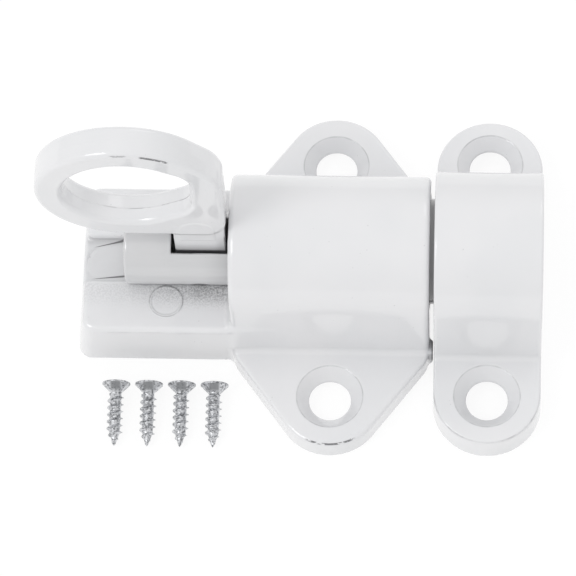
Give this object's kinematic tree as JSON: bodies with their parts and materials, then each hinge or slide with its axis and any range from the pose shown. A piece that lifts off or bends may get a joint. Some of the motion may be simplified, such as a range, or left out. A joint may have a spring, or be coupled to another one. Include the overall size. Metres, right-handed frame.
{
  "type": "spring bolt latch",
  "caption": "Cast spring bolt latch with a housing, a round bolt pulled back by an upright ring, an arched keeper and loose countersunk screws.",
  "frame": {"origin": "in the mounting plane, midway between the housing's two screw holes, under the bolt axis", "axes": "+X is the way the bolt shoots, towards the keeper; +Z is away from the mounting plane; Y runs from screw hole to screw hole"},
  "size_m": [0.0775, 0.0564, 0.0536],
  "materials": {
    "casting_paint": "gloss white paint on a die casting",
    "bolt_paint": "gloss white paint on turned steel",
    "pin_steel": "plain turned steel",
    "spring_steel": "drawn spring wire",
    "screw_zinc": "bright zinc plate"
  },
  "bodies": {
    "latch_body": {"housing": "casting_paint", "keeper": "casting_paint", "return_spring": "spring_steel", "screw_1": "screw_zinc", "screw_2": "screw_zinc", "screw_3": "screw_zinc", "screw_4": "screw_zinc"},
    "bolt_body": {"bolt": "bolt_paint", "pull_ring": "casting_paint", "ring_pin": "pin_steel"}
  },
  "joints": [
    {"name": "bolt_slide", "type": "slide", "parent": "latch_body", "child": "bolt_body", "axis": [-1, 0, 0], "range_m": [0, 0.0113], "stiffness_N_per_m": 600, "springref_m": -0.008, "deforming": ["return_spring"]}
  ]
}
